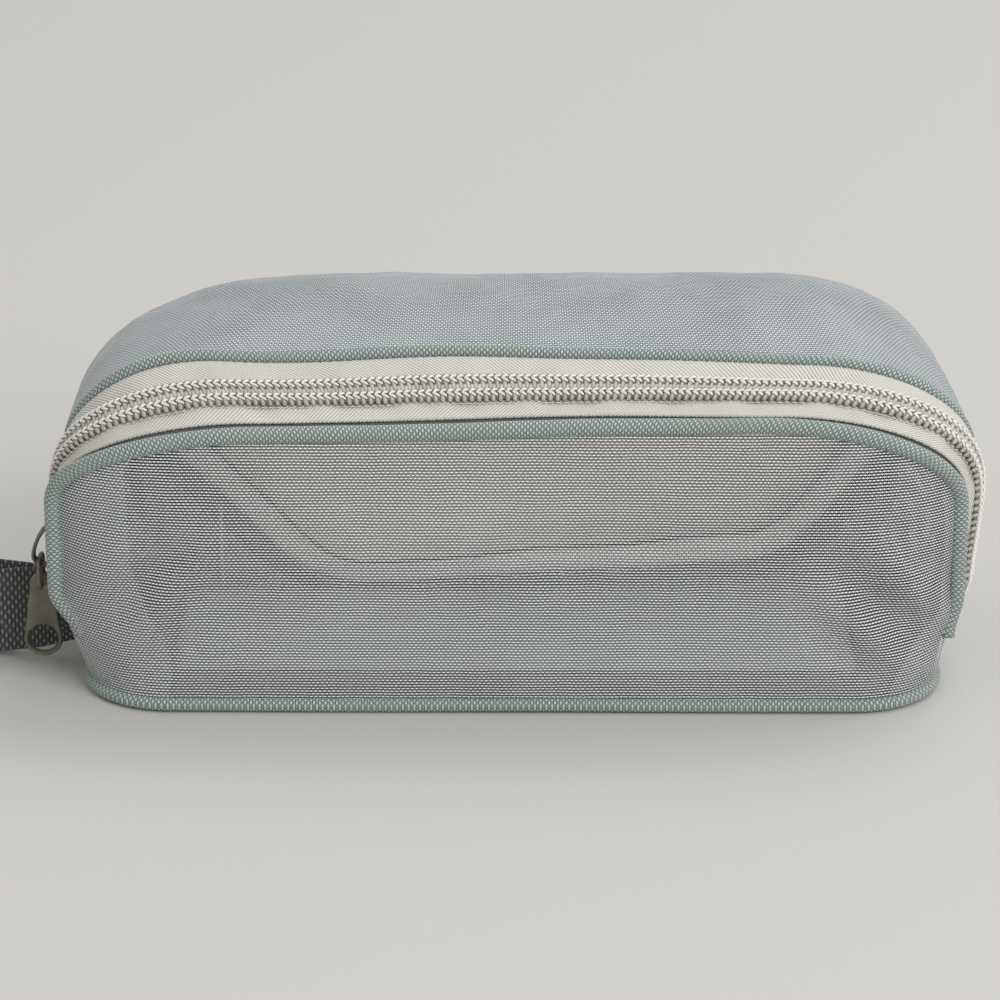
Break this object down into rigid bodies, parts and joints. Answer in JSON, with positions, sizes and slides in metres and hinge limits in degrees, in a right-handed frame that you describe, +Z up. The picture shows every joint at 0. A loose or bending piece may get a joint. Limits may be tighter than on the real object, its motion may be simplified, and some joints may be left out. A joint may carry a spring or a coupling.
{
  "type": "shoe bag",
  "caption": "See-through mesh shoe bag with piped edges; a coil zip over the front top edge lets the front fold forward as a flap, and a webbing loop hangs at one end.",
  "frame": {"origin": "The middle of the base's underside, on the surface the bag stands on.", "axes": "+X runs along the bag's length towards the end without the webbing loop, -Y is the front that folds down, +Z is up."},
  "size_m": [0.372, 0.1176, 0.1199],
  "materials": {
    "mesh": "fine plain-weave polyester mesh, see-through",
    "pocket_mesh": "fine mesh, doubled and denser",
    "piping": "woven sage green piping tape",
    "piping_core": "twisted white filler cord",
    "zip_tape": "cream herringbone zip tape",
    "zip_coil": "cream nylon coil, satin",
    "seam_binding": "dark grey woven binding",
    "base_cloth": "coated woven base cloth",
    "end_tab": "woven sage green cloth",
    "board": "thin frosted polyethylene sheet",
    "card": "uncoated cream card",
    "label": "blank woven label",
    "pocket_binding": "ribbed cream and grey edge tape",
    "webbing": "dark grey ribbed webbing",
    "zip_metal": "warm gunmetal plating, satin",
    "steel": "bright steel"
  },
  "bodies": {
    "shell": {"base_panel": "base_cloth", "base_board": "board", "base_piping_cover": "piping", "base_piping_cord": "piping_core", "base_seam_binding": "seam_binding", "lower_front_panel": "mesh", "mesh_gusset": "mesh", "back_panel": "mesh", "left_end_tab": "end_tab", "right_end_tab": "end_tab", "rear_piping_cover": "piping", "rear_piping_cord": "piping_core", "rear_zip_tape": "zip_tape", "rear_zip_coil": "zip_coil", "rear_seam_binding": "seam_binding", "pocket_panel": "pocket_mesh", "pocket_binding": "pocket_binding", "back_card": "card", "inner_label": "label", "loop_root": "webbing"},
    "front_flap": {"front_panel": "mesh", "front_piping_cover": "piping", "front_piping_cord": "piping_core", "front_zip_tape": "zip_tape", "front_zip_coil": "zip_coil", "front_seam_binding": "seam_binding"},
    "slider": {"slider_body": "zip_metal", "slider_cap": "zip_metal", "lock_pin": "steel"},
    "pull_ring": {"pull_ring": "zip_metal"},
    "puller": {"puller_tab": "zip_metal"},
    "webbing_loop": {"webbing_loop": "webbing"}
  },
  "joints": [
    {"name": "front_flap_fold", "type": "hinge", "parent": "shell", "child": "front_flap", "pos_m": [0, -0.057, 0.0165], "axis": [1, 0, 0], "range_deg": [0, 90]},
    {"name": "slider_slide", "type": "slide", "parent": "shell", "child": "slider", "axis": [0, 0, 1], "range_m": [0, 0.009]},
    {"name": "pull_ring_swing", "type": "hinge", "parent": "slider", "child": "pull_ring", "pos_m": [-0.1539, -0.02238, 0.0395], "axis": [0, 1, 0], "range_deg": [0, 100]},
    {"name": "puller_swing", "type": "hinge", "parent": "pull_ring", "child": "puller", "pos_m": [-0.1539, -0.02238, 0.0305], "axis": [0, 1, 0], "range_deg": [0, 70]},
    {"name": "webbing_loop_swing", "type": "hinge", "parent": "shell", "child": "webbing_loop", "pos_m": [-0.1545, -0.0085, 0.017], "axis": [0, 0, -1], "range_deg": [-10, 60]}
  ]
}
